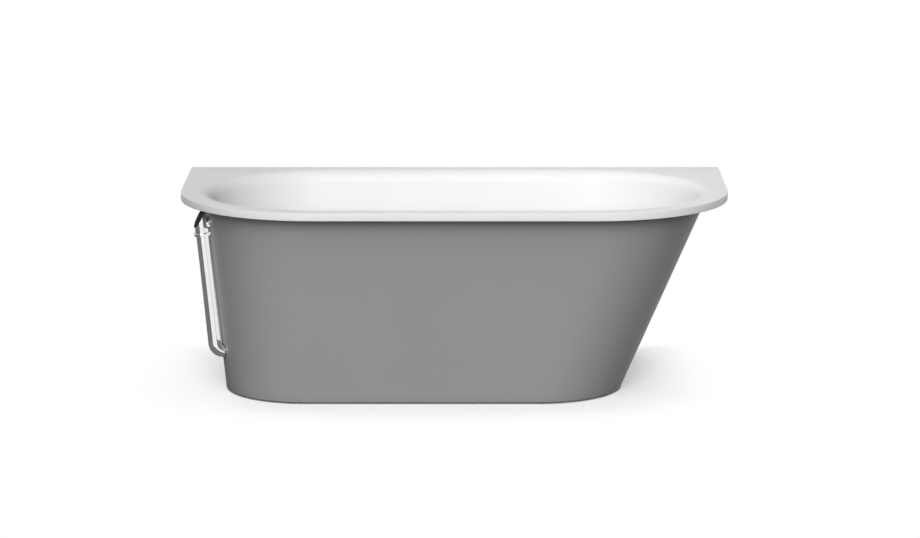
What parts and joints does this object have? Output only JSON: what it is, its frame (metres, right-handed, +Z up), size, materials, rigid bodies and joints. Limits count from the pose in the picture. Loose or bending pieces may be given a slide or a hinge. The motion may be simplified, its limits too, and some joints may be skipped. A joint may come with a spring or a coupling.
{
  "type": "bathtub",
  "caption": "Back-to-wall bathtub: white basin with a flat slab rim, grey slanted skirt and an exposed chrome overflow pipe at one end, on levelling feet.",
  "frame": {"origin": "on the floor under the middle of the rim", "axes": "+X along the tub from the overflow end to the backrest, +Y to the wall, +Z up"},
  "size_m": [1.7, 0.85, 0.615],
  "materials": {
    "cast_white": "satin",
    "lacquer_grey": "satin",
    "chrome": "polished",
    "cap_black": "gloss",
    "rubber_black": "matte",
    "plastic_white": "satin",
    "plastic_dark": "matte",
    "zinc_steel": "satin",
    "brass": "satin"
  },
  "bodies": {
    "tub": {"basin": "cast_white", "skirt": "lacquer_grey", "overflow_head": "chrome", "overflow_collar": "chrome", "overflow_tube": "chrome", "overflow_rosette": "chrome", "waste_flange": "chrome", "overflow_cap": "cap_black", "overflow_seal": "rubber_black", "leg_grommet": "rubber_black", "coupling_sleeve": "rubber_black", "port_seal": "rubber_black", "waste_upper_seal": "rubber_black", "waste_lower_seal": "rubber_black", "trap_seal": "rubber_black", "trap_cup_seal": "rubber_black", "outlet_seal": "rubber_black", "overflow_spacer": "plastic_white", "return_pipe": "plastic_white", "port_nut": "plastic_white", "waste_body": "plastic_white", "trap_body": "plastic_white", "trap_nut": "plastic_white", "trap_cup": "plastic_white", "outlet_pipe": "plastic_white", "outlet_nut": "plastic_white", "rail_left": "zinc_steel", "rail_right": "zinc_steel", "rail_bolts": "zinc_steel", "foot_nuts": "zinc_steel", "tie_bolts": "zinc_steel", "tie_nuts": "zinc_steel", "skirt_tie_left": "zinc_steel", "skirt_tie_right": "zinc_steel", "wall_bracket_left": "zinc_steel", "wall_bracket_right": "zinc_steel", "bracket_screws": "zinc_steel", "coupling_clamps": "zinc_steel", "plug_spring": "zinc_steel", "rail_inserts": "brass", "plug_cartridge": "brass", "overflow_clamp_ring": "brass"},
    "plug": {"plug_cap": "chrome", "plug_seal": "rubber_black", "plug_stem": "brass"},
    "foot_front_left": {"foot_pad_front_left": "plastic_dark"},
    "screw_front_left": {"foot_screw_front_left": "zinc_steel"},
    "foot_back_left": {"foot_pad_back_left": "plastic_dark"},
    "screw_back_left": {"foot_screw_back_left": "zinc_steel"},
    "foot_front_right": {"foot_pad_front_right": "plastic_dark"},
    "screw_front_right": {"foot_screw_front_right": "zinc_steel"},
    "foot_back_right": {"foot_pad_back_right": "plastic_dark"},
    "screw_back_right": {"foot_screw_back_right": "zinc_steel"}
  },
  "joints": [
    {"name": "plug_lift", "type": "slide", "parent": "tub", "child": "plug", "axis": [0, 0, 1], "range_m": [0, 0.01], "deforming": ["plug_spring"]},
    {"name": "foot_height_front_left", "type": "slide", "parent": "tub", "child": "foot_front_left", "axis": [0, 0, 1], "range_m": [-0.008, 0.004]},
    {"name": "foot_turn_front_left", "type": "hinge", "parent": "foot_front_left", "child": "screw_front_left", "pos_m": [-0.24, -0.21496, 0.1], "axis": [0, 0, 1], "range_deg": [-1925, 965]},
    {"name": "foot_height_back_left", "type": "slide", "parent": "tub", "child": "foot_back_left", "axis": [0, 0, 1], "range_m": [-0.008, 0.004]},
    {"name": "foot_turn_back_left", "type": "hinge", "parent": "foot_back_left", "child": "screw_back_left", "pos_m": [-0.24, 0.21496, 0.1], "axis": [0, 0, 1], "range_deg": [-1925, 965]},
    {"name": "foot_height_front_right", "type": "slide", "parent": "tub", "child": "foot_front_right", "axis": [0, 0, 1], "range_m": [-0.008, 0.004]},
    {"name": "foot_turn_front_right", "type": "hinge", "parent": "foot_front_right", "child": "screw_front_right", "pos_m": [0.24998, -0.21496, 0.1], "axis": [0, 0, 1], "range_deg": [-1925, 965]},
    {"name": "foot_height_back_right", "type": "slide", "parent": "tub", "child": "foot_back_right", "axis": [0, 0, 1], "range_m": [-0.008, 0.004]},
    {"name": "foot_turn_back_right", "type": "hinge", "parent": "foot_back_right", "child": "screw_back_right", "pos_m": [0.24998, 0.21496, 0.1], "axis": [0, 0, 1], "range_deg": [-1925, 965]}
  ],
  "couplings": [
    {"joint": "foot_turn_front_left", "follows": "foot_height_front_left", "rad_per_m": 4188.8},
    {"joint": "foot_turn_back_left", "follows": "foot_height_back_left", "rad_per_m": 4188.8},
    {"joint": "foot_turn_front_right", "follows": "foot_height_front_right", "rad_per_m": 4188.8},
    {"joint": "foot_turn_back_right", "follows": "foot_height_back_right", "rad_per_m": 4188.8}
  ]
}
